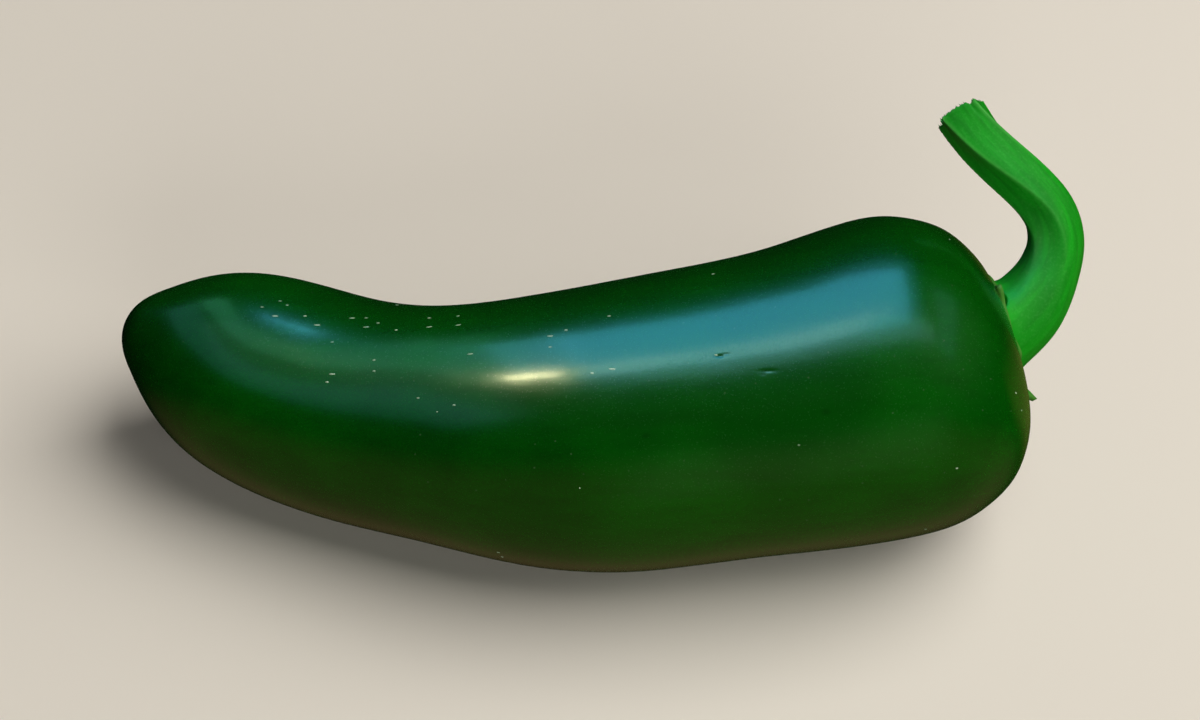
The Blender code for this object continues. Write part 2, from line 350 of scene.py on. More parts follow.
def spline(knots, values):
    """A function of place through the values at the knots, with no kink in its slope or its bend."""
    knots = np.asarray(knots, float)
    values = np.asarray(values, float).reshape(len(knots), -1)
    step = np.diff(knots)
    slope = np.diff(values, axis=0) / step[:, None]
    system = np.eye(len(knots))
    right = np.zeros_like(values)
    for i in range(1, len(knots) - 1):
        system[i, i - 1 : i + 2] = step[i - 1], 2 * (step[i - 1] + step[i]), step[i]
        right[i] = 6 * (slope[i] - slope[i - 1])
    bend = np.linalg.solve(system, right)

    def at(place):
        i = int(np.clip(np.searchsorted(knots, place) - 1, 0, len(step) - 1))
        h = step[i]
        before = knots[i + 1] - place
        after = place - knots[i]
        return (
            (bend[i] * before**3 + bend[i + 1] * after**3) / (6 * h)
            + (values[i] / h - bend[i] * h / 6) * before
            + (values[i + 1] / h - bend[i + 1] * h / 6) * after
        )

    return at


def lengths_along(points):
    """The distance of each point from the first, along the straight lines between them."""
    points = np.asarray(points, float)
    return np.concatenate([[0.0], np.cumsum(np.linalg.norm(np.diff(points, axis=0), axis=1))])


def unit(vector):
    return vector / np.linalg.norm(vector)


class Path:
    """A smooth line in space, with a frame of two cross directions that turns no more than the line does."""

    def __init__(self, points, first_side):
        self.length = lengths_along(points)[-1]
        at = spline(lengths_along(points), points)
        self.places = np.linspace(0, self.length, GUIDE_POINTS)
        self.points = np.array([at(p) for p in self.places])
        along = np.gradient(self.points, self.places, axis=0)
        self.along = along / np.linalg.norm(along, axis=1)[:, None]
        side = np.asarray(first_side, float)
        sides = []
        for direction in self.along:
            side = unit(side - direction * (side @ direction))
            sides.append(side)
        self.sides = np.array(sides)

    def frame(self, place):
        """(centre, along, side, lift) at this distance along the line, going straight on past its ends."""
        inside = min(max(place, 0.0), self.length)
        centre, along, side = (
            np.array([np.interp(inside, self.places, values[:, k]) for k in range(3)])
            for values in (self.points, self.along, self.sides)
        )
        along = unit(along)
        side = unit(side - along * (side @ along))
        return centre + along * (place - inside), along, side, np.cross(along, side)


def fruit_line():
    return Path(np.array(FRUIT_CENTRELINE) + LAID_SHIFT, FRUIT_SIDE)


def fruit_outline(length):
    """Points of the fruit's profile, as (distance along, radius, 0), rounded at both poles by mirroring."""
    profile = np.array(FRUIT_PROFILE) * (length / PROFILE_LENGTH, 1.0)
    rounded = np.vstack([profile[2:0:-1] * (1, -1), profile, profile[-2:-4:-1] * (1, -1)])
    lengths = lengths_along(rounded)
    at = spline(lengths, rounded)
    points = [at(place) for place in np.linspace(lengths[2], lengths[-3], GUIDE_POINTS)]
    return [(place, max(radius, 0.0), 0.0) for place, radius in points]


def guide_curve(name, points):
    """A curve object through these points, which a tree reads."""
    data = bpy.data.curves.new(name, "CURVE")
    data.dimensions = "3D"
    line = data.splines.new("POLY")
    line.points.add(len(points) - 1)
    for point, place in zip(line.points, points):
        point.co = (*(np.asarray(place) * MM), 1.0)
    made = bpy.data.objects.new(name, data)
    bpy.context.scene.collection.objects.link(made)
    return made


def remove(made):
    bpy.data.objects.remove(made)


def sweep_tree():
    """The tree that sweeps a lobed section along the centreline, as wide as the outline says."""
    lobe_sizes = ("Lobes", "Lobe depth", "Lobe turn", "Lobe start", "Lobe full", "Lobe fade radius")
    tree, given = new_tree(
        "Sweep the skin",
        Object=("Centreline", "Outline"),
        Int=("Steps along", "Sides"),
        Float=(*lobe_sizes, "Wave height", "Wave scale"),
        Material=("Skin",),
    )
    node = partial(add_node, tree)

    # A closed drum gives each point its share of the way along, its angle, and whether it is a pole
    drum = node(
        "GeometryNodeMeshCylinder",
        {"Vertices": given["Sides"], "Side Segments": given["Steps along"], "Radius": 1.0, "Depth": 1.0},
        fill_type="TRIANGLE_FAN",
    )
    on_drum = node("ShaderNodeSeparateXYZ", [node("GeometryNodeInputPosition")]).outputs
    angle = node("ShaderNodeMath", [on_drum["Y"], on_drum["X"]], operation="ARCTAN2")
    flat = node("ShaderNodeCombineXYZ", [on_drum["X"], on_drum["Y"]])
    off_pole = node("ShaderNodeVectorMath", [flat], operation="LENGTH").outputs["Value"]
    across = node("ShaderNodeMath", [off_pole, 2.0], operation="MULTIPLY")
    rings = node("ShaderNodeMath", [given["Steps along"], 2.0], operation="ADD")
    inset = node("ShaderNodeMath", [across, rings], operation="DIVIDE")
    spread = node("ShaderNodeMath", [1.0, inset], operation="SUBTRACT")
    share = node("ShaderNodeMath", [on_drum["Z"], spread, 0.5], operation="MULTIPLY_ADD")

    outline = node("GeometryNodeObjectInfo", {"Object": given["Outline"]}).outputs["Geometry"]
    on_outline = node("GeometryNodeSampleCurve", {"Curves": outline, "Factor": share}, mode="FACTOR").outputs
    sized = node("ShaderNodeSeparateXYZ", [on_outline["Position"]]).outputs
    place, radius = sized["X"], sized["Y"]

    line = node("GeometryNodeObjectInfo", {"Object": given["Centreline"]}).outputs["Geometry"]
    on_line = node("GeometryNodeSampleCurve", {"Curves": line, "Length": place}, mode="LENGTH").outputs
    along = on_line["Tangent"]
    slanted = node("ShaderNodeVectorMath", [FRUIT_SIDE, along], operation="PROJECT")
    side = node("ShaderNodeVectorMath", [FRUIT_SIDE, slanted], operation="SUBTRACT")
    side = node("ShaderNodeVectorMath", [side], operation="NORMALIZE")
    outward = node(
        "ShaderNodeVectorRotate", {"Vector": side, "Axis": along, "Angle": angle}, rotation_type="AXIS_ANGLE"
    )

    grown = node(
        "ShaderNodeMapRange",
        {"Value": place, "From Min": given["Lobe start"], "From Max": given["Lobe full"]},
        interpolation_type="SMOOTHSTEP",
    )
    wide = node("ShaderNodeMath", [radius, given["Lobe fade radius"]], operation="DIVIDE", use_clamp=True)
    fade = node("ShaderNodeMath", [wide, wide], operation="MULTIPLY")
    fade = node("ShaderNodeMath", [grown, fade], operation="MULTIPLY")
    depth = node("ShaderNodeMath", [fade, given["Lobe depth"]], operation="MULTIPLY")
    turned = node("ShaderNodeMath", [angle, given["Lobe turn"]], operation="SUBTRACT")
    turned = node("ShaderNodeMath", [given["Lobes"], turned], operation="MULTIPLY")
    lobe = node("ShaderNodeMath", [turned], operation="COSINE")
    lobe = node("ShaderNodeMath", [lobe, depth], operation="MULTIPLY")
    lobed = node("ShaderNodeMath", [lobe, 1.0], operation="ADD")
    lobed = node("ShaderNodeMath", [radius, lobed], operation="MULTIPLY")

    skin = node("ShaderNodeVectorMath", {0: outward, "Scale": lobed}, operation="SCALE")
    skin = node("ShaderNodeVectorMath", [on_line["Position"], skin], operation="ADD")
    wave = node("ShaderNodeTexNoise", {"Vector": skin, "Scale": given["Wave scale"], "Detail": 1.5})
    wave = node("ShaderNodeMath", [wave, 0.5], operation="SUBTRACT")
    height = node("ShaderNodeMath", [wide, given["Wave height"]], operation="MULTIPLY")
    wave = node("ShaderNodeMath", [wave, height], operation="MULTIPLY")
    wave = node("ShaderNodeVectorMath", {0: outward, "Scale": wave}, operation="SCALE")
    skin = node("ShaderNodeVectorMath", [skin, wave], operation="ADD")
    skin = node("ShaderNodeSeparateXYZ", [skin]).outputs
    above_ground = node("ShaderNodeMath", [skin["Z"], 0.0], operation="MAXIMUM")
    laid = node("ShaderNodeCombineXYZ", [skin["X"], skin["Y"], above_ground])

    named = node(
        "GeometryNodeStoreNamedAttribute",
        {"Geometry": drum.outputs["Mesh"], "Name": "share", "Value": share},
        data_type="FLOAT",
        domain="POINT",
    )
    swept = node("GeometryNodeSetPosition", {"Geometry": named, "Position": laid})
    end_tree(tree, swept, given["Skin"])
    return tree


def new_material(name):
    """(material, its node tree, its main shader)."""
    made = bpy.data.materials.new(name)
    made.use_nodes = True
    return made, made.node_tree, made.node_tree.nodes["Principled BSDF"]


def lay_over(tree, colour, layers):
    """Lays tints over a colour, each as (value, its low, its high, strength at the low, at the high, tint)."""
    for value, low, high, weak, strong, tint in layers:
        limits = {"Value": value, "From Min": low, "From Max": high, "To Min": weak, "To Max": strong}
        share = add_node(tree, "ShaderNodeMapRange", limits)
        sides = {"Factor": share, "A": colour, "B": tuple(tint)}
        colour = add_node(tree, "ShaderNodeMix", sides, data_type="RGBA")
    return colour


def chilli_skin(settings):
    """Fresh chilli skin under its wax: a deep green that is smooth and softly glossy, with a fine grain, and
    painted shade darkening its pits.
    """
    made, tree, shader = new_material("fresh_chilli_skin_waxed")
    node = partial(add_node, tree)
    place = node("ShaderNodeTexCoord").outputs["Object"]
    lengthwise = node("ShaderNodeMapping", {"Vector": place, "Scale": (0.12, 1.0, 1.0)})
    # Patches 16 mm across, streaks 1.4 mm wide along the fruit, mottling a few cells across, grain, and peel
    patches, streaks, mottling, grain, peel = (
        node("ShaderNodeTexNoise", {"Vector": vector, "Scale": per_mm(size), "Detail": detail})
        for vector, size, detail in (
            (place, 16.0, 2.0),
            (lengthwise, 1.4, 3.0),
            (place, 0.45, 3.0),
            (place, 0.16, 1.0),
            (place, 0.9, 2.0),
        )
    )
    # Breathing pores: pale dots 0.15 mm across, about 1.6 mm apart
    pores = node("ShaderNodeTexVoronoi", {"Vector": place, "Scale": per_mm(1.6), "Randomness": 1.0})
    scar, share = (
        node("ShaderNodeAttribute", attribute_name=name).outputs["Fac"] for name in ("scar", "share")
    )
    # The last layer is the blossom scar, a small corky spot at the tip
    layers = (
        (patches, 0.4, 0.62, 0.0, 1.0, settings.fresh_green),
        (streaks, 0.45, 0.75, 0.0, 0.35, settings.dark_green),
        (mottling, 0.4, 0.8, 0.0, 0.25, settings.dark_green),
        (pores.outputs["Distance"], 0.03, 0.07, 0.06, 0.0, settings.cork),
        # Painted shade: the pits are darkened towards dark green, by how deep in one each point is
        (scar, 0.3, 1.0, 0.0, 0.8, settings.dark_green),
        (share, 0.006, 0.011, 0.75, 0.0, settings.cork),
    )
    roughness = {"Value": grain, "From Min": 0.3, "From Max": 0.7, "To Min": 0.2, "To Max": 0.28}
    coarse = node("ShaderNodeBump", {"Strength": 1.0, "Distance": 0.006 * MM, "Height": peel})
    finish = {
        "Base Color": lay_over(tree, tuple(settings.deep_green), layers),
        "Roughness": node("ShaderNodeMapRange", roughness),
        "Normal": node(
            "ShaderNodeBump", {"Strength": 1.0, "Distance": 0.0022 * MM, "Height": grain, "Normal": coarse}
        ),
        "IOR": 1.45,
        "Coat Weight": 0.2,
        "Coat Roughness": 0.13,
        "Coat IOR": 1.44,
        "Subsurface Weight": 0.06,
        "Subsurface Radius": (0.3, 1.0, 0.2),
        "Subsurface Scale": 0.8 * MM,
    }
    fill(tree, shader, finish)
    return made


def cork_and_painted_glint_flecks(settings):
    """Healed lenticels: tiny raised dots of pale, dry cork, duller than the wax round them; their paleness also
    stands in for the glints on them, as a painted highlight.
    """
    made, tree, shader = new_material("pale_cork_and_painted_glint_flecks")
    place = add_node(tree, "ShaderNodeTexCoord").outputs["Object"]
    shade = add_node(tree, "ShaderNodeTexNoise", {"Vector": place, "Scale": per_mm(3.0), "Detail": 2.0})
    # Painted highlight: the flecks' pale cork colour also stands in for the glints on them
    colour = lay_over(tree, tuple(settings.fresh_green), [(shade, 0.35, 0.65, 0.35, 1.0, settings.cork)])
    fill(tree, shader, {"Base Color": colour, "Roughness": 0.45})
    return made


def stalk_skin(settings):
    """Chilli stalk: firm, fibrous green tissue, satin, and paler where it snapped, with a painted highlight down
    its ridges.
    """
    made, tree, shader = new_material("fibrous_green_stalk")
    node = partial(add_node, tree)
    place = node("ShaderNodeTexCoord").outputs["Object"]
    fibre = node("ShaderNodeAttribute", attribute_name="fibre").outputs["Vector"]
    # Fibres a third of a millimetre wide and streaks 1.2 mm wide, both drawn out along the stalk, and grain
    fibres, streaks, mottling, grain = (
        node("ShaderNodeTexNoise", {"Vector": vector, "Scale": scale, "Detail": 2.0})
        for vector, scale in ((fibre, 3.0), (fibre, 0.8), (place, per_mm(0.25)), (place, per_mm(0.14)))
    )
    ridge, foot, snapped = (
        node("ShaderNodeAttribute", attribute_name=name).outputs["Fac"] for name in ("ridge", "foot", "snapped")
    )
    layers = (
        (streaks, 0.4, 0.65, 0.0, 0.7, settings.dark_green),
        (fibres, 0.45, 0.75, 0.0, 0.55, settings.dark_green),
        (mottling, 0.5, 0.9, 0.0, 0.2, settings.pale_green),
        # Painted highlight: pale green along the rib cords, strongest towards the snapped end
        (ridge, 0.25, 0.95, 0.0, 0.4, settings.pale_green),
        (foot, 0.2, 1.0, 0.0, 0.8, settings.olive),
        (snapped, 0.0, 1.0, 0.0, 1.0, settings.pale_green),
    )
    roughness = {"Value": grain, "From Min": 0.3, "From Max": 0.7, "To Min": 0.46, "To Max": 0.58}
    finish = {
        "Base Color": lay_over(tree, tuple(settings.green), layers),
        "Roughness": node("ShaderNodeMapRange", roughness),
        "Normal": node("ShaderNodeBump", {"Strength": 1.0, "Distance": 0.006 * MM, "Height": grain}),
        "IOR": 1.4,
        "Specular IOR Level": 0.4,
        "Subsurface Weight": 0.08,
        "Subsurface Radius": (0.4, 1.0, 0.3),
        "Subsurface Scale": 0.6 * MM,
    }
    fill(tree, shader, finish)
    return made


def floor_paint(settings):
    """Matt paint on a studio floor: pale, even and without shine."""
    made, tree, shader = new_material("matt_pale_floor")
    place = add_node(tree, "ShaderNodeTexCoord").outputs["Object"]
    cloud = add_node(tree, "ShaderNodeTexNoise", {"Vector": place, "Scale": per_mm(300.0), "Detail": 1.0})
    colour = lay_over(tree, tuple(settings.floor_colour), [(cloud, 0.0, 1.0, 0.0, 1.0, srgb("#ebe8e1"))])
    fill(tree, shader, {"Base Color": colour, "Roughness": 1.0, "Specular IOR Level": 0.0})
    return made


def eye_place(stage):
    """(camera place, direction back to it from the pepper), from the stage's settings."""
    lean = stage.camera_elevation
    back = Vector((0.0, -math.cos(lean), math.sin(lean)))
    return Vector(LOOKS_AT) * MM + back * stage.camera_distance, back


def seen_at(stage, pixel, skin):
    """(place, outward normal) on the skin under this pixel of the photograph."""
    eye, back = eye_place(stage)
    up = Vector((0.0, math.sin(stage.camera_elevation), math.cos(stage.camera_elevation)))
    focal = PHOTO_WIDTH * stage.lens / SENSOR
    across = (pixel[0] - PHOTO_WIDTH / 2) / focal
    down = (pixel[1] - PHOTO_HEIGHT / 2) / focal
    place, normal, _, _ = skin.ray_cast(eye, Vector((across, 0.0, 0.0)) - back - down * up)
    if place is None:
        raise RuntimeError(f"no skin under pixel {pixel}")
    return place, normal


def skin_of(made):
    return BVHTree.FromPolygons([v.co for v in made.data.vertices], [p.vertices for p in made.data.polygons])


def press_pits(made, stage):
    """Sinks the pits and scars into the skin, on finer faces, and names how deep in one each point is; the
    skin's colour darkens by it, as painted shade in the pits.
    """
    skin = skin_of(made)
    mesh = bmesh.new()
    mesh.from_mesh(made.data)
    marks = [(*seen_at(stage, pit[:2], skin), pit[2], pit[3], pit[4]) for pit in PITS]
    near = {
        edge
        for edge in mesh.edges
        for place, _, length, _, _ in marks
        if (edge.verts[0].co - place).length < PIT_FACES_REACH * length * MM
    }
    bmesh.ops.subdivide_edges(mesh, edges=list(near), cuts=PIT_CUTS, use_grid_fill=True)
    scar = mesh.verts.layers.float.new("scar")
    for vertex in mesh.verts:
        for place, normal, length, width, depth in marks:
            offset = (vertex.co - place) / MM
            if offset.length > PIT_REACH:
                continue
            along = offset.x / length
            across = (offset - Vector((offset.x, 0, 0))).length / width
            inside = math.exp(-(along**2) - across**2)
            vertex.co -= normal * depth * inside * MM
            vertex[scar] = max(vertex[scar], inside)
    bmesh.ops.triangulate(mesh, faces=[face for face in mesh.faces if len(face.verts) > 4])
    mesh.to_mesh(made.data)
    mesh.free()


def finish_piece(made, slot, *nodes):
    """Attaches a piece to the pepper's root, and hides the nodes of the imported model that it stands for. The
    slot it is given is not used.
    """
    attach(made, "root")
    if nodes:
        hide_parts(*nodes)


class CHILLI_OT_add_fruit(bpy.types.Operator):
    """Sweep the fruit's skin along its centreline and press its scars into it"""

    bl_idname = "chilli.add_fruit"
    bl_label = "Add fruit"

    def execute(self, context):
        settings = context.scene.chilli_fruit
        line = fruit_line()
        centreline = guide_curve("centreline_guide", line.points)
        outline = guide_curve("outline_guide", fruit_outline(line.length))
        values = {
            "Centreline": centreline,
            "Outline": outline,
            "Steps along": settings.steps_along,
            "Sides": settings.sides,
            "Lobes": float(settings.lobes),
            "Lobe depth": settings.lobe_depth,
            "Lobe turn": settings.lobe_turn,
            "Lobe start": settings.lobe_start,
            "Lobe full": settings.lobe_full,
            "Lobe fade radius": settings.lobe_fade_radius,
            "Wave height": settings.wave_height,
            "Wave scale": 1.0 / settings.wave_size,
            "Skin": chilli_skin(settings),
        }
        made = grow("chilli_fruit", sweep_tree(), values)
        remove(centreline)
        remove(outline)
        press_pits(made, context.scene.chilli_stage)
        finish_piece(made, "waxy_skin", "fruit")
        return {"FINISHED"}


def fleck_tree():
    """The tree that sets low oval flecks on the skin: at marked points, and scattered over the rest."""
    tree, given = new_tree(
        "Scatter flecks",
        Object=("Fruit", "Marked"),
        Float=("Density", "Length", "Width", "Height"),
        Int=("Seed",),
        Material=("Cork",),
    )
    node = partial(add_node, tree)
    skin = node("GeometryNodeObjectInfo", {"Object": given["Fruit"]}).outputs["Geometry"]
    height = node("ShaderNodeSeparateXYZ", [node("GeometryNodeInputPosition")]).outputs["Z"]
    off_ground = node("FunctionNodeCompare", {"A": height, "B": CLEAN_HEIGHT * MM}, operation="GREATER_THAN")
    scattered = node(
        "GeometryNodeDistributePointsOnFaces",
        {"Mesh": skin, "Selection": off_ground, "Density": given["Density"], "Seed": given["Seed"]},
        distribute_method="RANDOM",
    ).outputs["Points"]
    small = node(
        "GeometryNodeStoreNamedAttribute",
        {"Geometry": scattered, "Name": "size", "Value": SCATTERED_FLECK_SIZE},
        data_type="FLOAT",
        domain="POINT",
    )
    marked = node("GeometryNodeObjectInfo", {"Object": given["Marked"]}).outputs["Geometry"]
    marked = node("GeometryNodeMeshToPoints", {"Mesh": marked})
    points = node("GeometryNodeJoinGeometry")
    for source in (small, marked):
        tree.links.new(source.outputs[0], points.inputs["Geometry"])
    outward = node(
        "GeometryNodeSampleNearestSurface",
        {"Mesh": skin, "Value": node("GeometryNodeInputNormal")},
        data_type="FLOAT_VECTOR",
    )
    lengthwise, uneven = (
        node(
            "FunctionNodeRandomValue",
            {"Min": low, "Max": high, "Seed": given["Seed"]},
            data_type="FLOAT_VECTOR",
        )
        for low, high in (FLECK_DIRECTIONS, FLECK_SIZES)
    )
    upright = node("FunctionNodeAlignRotationToVector", {"Vector": outward}, axis="Z")
    turned = node(
        "FunctionNodeAlignRotationToVector",
        {"Rotation": upright, "Vector": lengthwise},
        axis="X",
        pivot_axis="Z",
    )
    size = node("GeometryNodeInputNamedAttribute", {"Name": "size"}, data_type="FLOAT")
    length = node("ShaderNodeMath", [given["Length"], size], operation="MULTIPLY")
    sizes = node("ShaderNodeCombineXYZ", [length, given["Width"], given["Height"]])
    sizes = node("ShaderNodeVectorMath", [sizes, uneven], operation="MULTIPLY")
    dot = node("GeometryNodeMeshUVSphere", {"Segments": 10, "Rings": 6, "Radius": 1.0})
    flecks = node(
        "GeometryNodeInstanceOnPoints",
        {"Points": points, "Instance": dot, "Rotation": turned, "Scale": sizes},
    )
    end_tree(tree, flecks, given["Cork"])
    return tree


class CHILLI_OT_add_flecks(bpy.types.Operator):
    """Set flecks of cork on the fruit's skin, whose pale colour is partly a painted highlight"""

    bl_idname = "chilli.add_flecks"
    bl_label = "Add flecks"

    def execute(self, context):
        settings = context.scene.chilli_fruit
        fruit = bpy.data.objects.get("chilli_fruit")
        if fruit is None:
            raise RuntimeError("add the fruit first")
        skin = skin_of(fruit)
        sizes = [LONG_FLECK_SIZE] * len(LONG_FLECKS) + [1.0] * len(SMALL_FLECKS)
        pixels = LONG_FLECKS + SMALL_FLECKS
        places = [seen_at(context.scene.chilli_stage, pixel, skin)[0] for pixel in pixels]
        data = bpy.data.meshes.new("marked_guide")
        data.from_pydata(places, [], [])
        size = data.attributes.new("size", "FLOAT", "POINT")
        size.data.foreach_set("value", sizes)
        marked = bpy.data.objects.new("marked_guide", data)
        context.scene.collection.objects.link(marked)
        values = {
            "Fruit": fruit,
            "Marked": marked,
            "Density": settings.fleck_density,
            "Seed": settings.fleck_seed,
            "Length": settings.fleck_length,
            "Width": settings.fleck_width,
            "Height": settings.fleck_height,
            "Cork": cork_and_painted_glint_flecks(settings),
        }
        made = grow("skin_flecks", fleck_tree(), values)
        remove(marked)
        finish_piece(made, "waxy_skin")
        return {"FINISHED"}


class Seat:
    """The stalk end of the fruit, as a seat for the calyx: places across it, and heights above its skin."""

    def __init__(self, fruit):
        line = fruit_line()
        self.middle, self.outward, self.side, self.lift = line.frame(line.length)
        self.skin = skin_of(fruit)

    def on_skin(self, across):
        start = self.middle + across[0] * self.side + across[1] * self.lift + SEAT_REACH * self.outward
        place, _, _, _ = self.skin.ray_cast(Vector(start * MM), Vector(-self.outward))
        if place is None:
            raise RuntimeError(f"the calyx misses the fruit at {across}")
        return np.array(place) / MM

    def point(self, across, height):
        across = np.asarray(across, float)
        over_side = self.on_skin(across + (SEAT_STEP, 0)) - self.on_skin(across - (SEAT_STEP, 0))
        over_lift = self.on_skin(across + (0, SEAT_STEP)) - self.on_skin(across - (0, SEAT_STEP))
        return self.on_skin(across) + height * unit(np.cross(over_side, over_lift))


def turn_between(angle, other):
    """The angle from one direction to another, between minus and plus half a turn."""
    return (angle - other + math.pi) % (2 * math.pi) - math.pi


def bump(angle, middle, width):
    """A smooth bump of height 1 round this direction."""
    return math.exp(-((turn_between(angle, middle) / width) ** 2))


def calyx_point(seat, share, angle, top):
    """A point of the calyx at this share of the way to its rim, on its top or its underside."""
    near = [bump(angle, at, width) for at, width, _, _ in TEETH]
    length = sum(part * length for part, (_, _, length, _) in zip(near, TEETH))
    lift = sum(part * lift for part, (_, _, _, lift) in zip(near, TEETH))
    drawn_out = 1 + CALYX_STRETCH[1] * (0.5 + 0.5 * math.cos(angle - CALYX_STRETCH[0]))
    out_of_foot = max(share * CALYX_RADIUS - FLARE_FOOT, 0.0) / (CALYX_RADIUS - FLARE_FOOT)
    radius = share * CALYX_RADIUS * drawn_out + out_of_foot * length
    height = lift * share**TOOTH_CURL
    height += CALYX_TOP + (CALYX_RIM_TOP - CALYX_TOP) * share**2 if top else CALYX_SINK
    across = np.array(CALYX_MIDDLE) + radius * np.array([math.cos(angle), math.sin(angle)])
    return seat.point(across, height)


def stalk_line(seat):
    middle = seat.point(CALYX_MIDDLE, STALK_RISE)
    up = np.array([0.0, math.sin(STALK_LEAN), math.cos(STALK_LEAN)])
    route = [middle + across * np.array([1.0, 0, 0]) + rise * up for across, rise in STALK_ROUTE]
    return Path([middle, *route], seat.side)


def ribs_at(angle, share):
    """(-1 between two ribs to 1 along one, how near the cord of a rib is), at this share of the stalk."""
    turned = angle - RIB_TWIST * (1 - share)
    apart = sorted(turn_between(turned, rib) % (2 * math.pi) for rib in RIB_ANGLES)
    after, before = apart[0], 2 * math.pi - apart[-1]
    across = after / (after + before)
    smooth = 0.5 + 0.5 * math.cos(2 * math.pi * across)
    flat_sided = (2 * across - 1) ** 2
    cord = math.exp(-((min(after, before) / CORD_WIDTH) ** 2))
    return 2 * (smooth + (flat_sided - smooth) * share) - 1, cord


def stalk_point(path, radius_at, place, angle, share_of_radius=1.0):
    centre, _, side, lift = path.frame(place)
    share = min(place / path.length, 1.0)
    rib = RIB_HEIGHT_AT_FOOT + (RIB_HEIGHT_AT_CUT - RIB_HEIGHT_AT_FOOT) * share
    ridge, cord = ribs_at(angle, share)
    radius = radius_at(share)[0] + rib * ridge + CORD_HEIGHT * share**3 * cord
    turn, width, depth, start = CLEFT
    radius -= depth * bump(angle, turn, width) * min(max((share - start) / (1 - start), 0.0), 1.0)
    return centre + share_of_radius * radius * (math.cos(angle) * side + math.sin(angle) * lift)


def snap_place(path, angle):
    """How far along the stalk the break is at this angle."""
    turn, rise = SNAP_SLANT
    turns = sum(height * bump(angle, middle, width) for middle, width, height in SNAP_TURNS)
    return path.length - SNAP_BACK + rise * math.cos(angle - turn) + turns


def stalk_rings(seat):
    """Rings of (point, along, foot, snapped) from the calyx's underside to the snapped end."""
    path = stalk_line(seat)
    shares, radii = zip(*STALK_RADII)
    radius_at = spline(shares, radii)
    angles = [2 * math.pi * k / STALK_SIDES for k in range(STALK_SIDES)]
    rng = np.random.default_rng(11)
    rings = []
    for share in np.linspace(0, 1, CALYX_RINGS + 1)[1:]:
        rings.append([(calyx_point(seat, share, a, top=False), 0.0, 1.0, 0.0) for a in angles])
    foot_share = FLARE_FOOT / CALYX_RADIUS
    for share in np.linspace(1.0, foot_share, CALYX_RINGS):
        edge = (share - foot_share) / (1 - foot_share)
        rings.append([(calyx_point(seat, share, a, top=True), 0.0, edge, 0.0) for a in angles])
    feet = [calyx_point(seat, foot_share, a, top=True) for a in angles]
    inner = [calyx_point(seat, foot_share + FLARE_STEP, a, top=True) for a in angles]
    tops = [stalk_point(path, radius_at, FLARE_TOP, a) for a in angles]
    above = [stalk_point(path, radius_at, FLARE_TOP + SEAT_STEP, a) for a in angles]
    dent_turn, dent_width, dent_depth, dent_share, dent_spread = FLARE_DENT
    for share in np.linspace(0, 1, FLARE_RINGS + 2)[1:-1]:
        ring = []
        for a, foot, near, top, high in zip(angles, feet, inner, tops, above):
            foot_reach, top_reach = np.array(FLARE_PULL) * np.linalg.norm(top - foot)
            rest = 1 - share
            point = (
                rest**3 * foot
                + 3 * rest**2 * share * (foot + foot_reach * unit(foot - near))
                + 3 * rest * share**2 * (top + top_reach * unit(top - high))
                + share**3 * top
            )
            dent = dent_depth * bump(a, dent_turn, dent_width) * bump(share, dent_share, dent_spread)
            point = point - dent * (math.cos(a) * seat.side + math.sin(a) * seat.lift)
            ring.append((point, share * FLARE_TOP, FLARE_TINT * rest**2, 0.0))
        rings.append(ring)
    last = path.length - SNAP_START
    for place in np.linspace(FLARE_TOP, last, STALK_RINGS):
        rings.append([(stalk_point(path, radius_at, place, a), place, 0.0, 0.0) for a in angles])
    # The last rings lean over, one by one, to the slant of the break
    jags = SNAP_JAG * (rng.random(STALK_SIDES) - 0.5)
    breaks = [snap_place(path, a) + jag for a, jag in zip(angles, jags)]
    for part in np.linspace(0, 1, SNAP_LEAN_RINGS + 2)[1:-1]:
        places = [last + part * (end - SNAP_RINGS[0][1] - last) for end in breaks]
        rings.append([(stalk_point(path, radius_at, p, a), p, 0.0, 0.0) for a, p in zip(angles, places)])
    level = path.length - SNAP_BACK
    for share, depth, roughness in SNAP_RINGS:
        places = [level + share * (end - level) - depth + roughness * (rng.random() - 0.5) for end in breaks]
        points = [stalk_point(path, radius_at, p, a, share) for a, p in zip(angles, places)]
        rings.append([(point, p, 0.0, float(share < 1)) for point, p in zip(points, places)])
    return path, angles, rings


